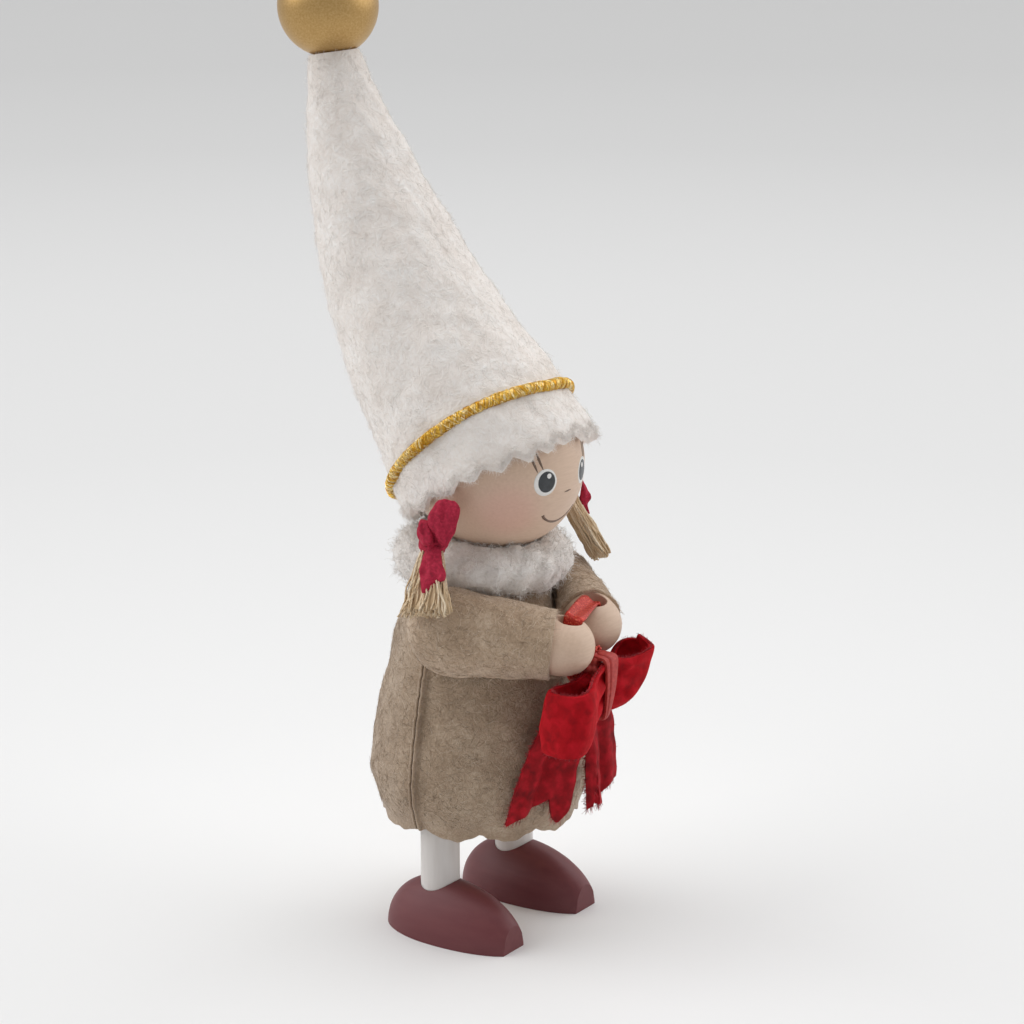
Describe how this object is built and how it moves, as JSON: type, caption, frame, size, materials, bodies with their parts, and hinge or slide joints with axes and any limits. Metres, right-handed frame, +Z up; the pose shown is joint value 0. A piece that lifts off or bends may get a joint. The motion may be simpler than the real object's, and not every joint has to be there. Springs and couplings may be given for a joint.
{
  "type": "christmas gnome figurine",
  "caption": "Free-standing wooden doll in a felt coat and a tall felt hat, with pigtails and a ribbon bow hung from its hands.",
  "frame": {"origin": "on the ground, under the middle of the whole figurine", "axes": "+Z up; the figure faces -Y, so its right hand is on the -X side"},
  "size_m": [0.0444, 0.067, 0.1561],
  "materials": {
    "shoe_paint": "matte maroon paint on turned wood",
    "leg_paint": "white paint on a dowel",
    "bare_wood": "bare",
    "face_wood": "matte varnish over bare wood, painted face",
    "hand_wood": "matte varnish over bare wood",
    "coat_felt": "heathered wool felt",
    "hat_felt": "fluffy wool felt",
    "fur": "short fluffy fur",
    "wadding": "loose fibre",
    "gold_cord": "twisted tinsel",
    "gold_paint": "satin gold paint",
    "wire": "drawn",
    "satin_ribbon": "glittering satin",
    "velvet_ribbon": "velvet, frayed edges",
    "flax_hair": "combed flax yarn",
    "tie_cloth": "crimson cloth strip"
  },
  "bodies": {
    "figure": {"right_shoe": "shoe_paint", "left_shoe": "shoe_paint", "right_leg": "leg_paint", "left_leg": "leg_paint", "body_core": "bare_wood", "neck_peg": "bare_wood", "coat_front": "coat_felt", "coat_back": "coat_felt", "fur_collar": "fur"},
    "head": {"head": "face_wood", "hat": "hat_felt", "hat_band": "gold_cord", "hat_wadding": "wadding", "hat_wire": "wire", "hat_bead": "gold_paint"},
    "arms": {"arm_wire": "wire", "right_sleeve": "coat_felt", "right_hand": "hand_wood", "left_sleeve": "coat_felt", "left_hand": "hand_wood", "hand_ribbon": "satin_ribbon"},
    "bow": {"bow_loops": "velvet_ribbon", "bow_right_tail": "velvet_ribbon", "bow_left_tail": "velvet_ribbon", "bow_wrap": "velvet_ribbon"},
    "right_pigtail": {"right_pigtail_hair": "flax_hair", "right_pigtail_tie": "tie_cloth"},
    "left_pigtail": {"left_pigtail_hair": "flax_hair", "left_pigtail_tie": "tie_cloth"}
  },
  "joints": [
    {"name": "head_turn", "type": "hinge", "parent": "figure", "child": "head", "pos_m": [0.00151, -0.00785, 0.064], "axis": [0, 0, 1], "range_deg": [-15, 15]},
    {"name": "arms_lift", "type": "hinge", "parent": "figure", "child": "arms", "pos_m": [0.00151, -0.00439, 0.0539], "axis": [1, 0, 0], "range_deg": [-10, 0]},
    {"name": "bow_swing", "type": "hinge", "parent": "arms", "child": "bow", "pos_m": [0.00168, -0.02726, 0.0498], "axis": [1, 0, 0], "range_deg": [-30, 0]},
    {"name": "right_pigtail_swing", "type": "hinge", "parent": "head", "child": "right_pigtail", "pos_m": [-0.01339, -0.00895, 0.0724], "axis": [0, 1, 0], "range_deg": [0, 25]},
    {"name": "left_pigtail_swing", "type": "hinge", "parent": "head", "child": "left_pigtail", "pos_m": [0.01641, -0.01025, 0.0728], "axis": [0, -1, 0], "range_deg": [0, 25]}
  ]
}
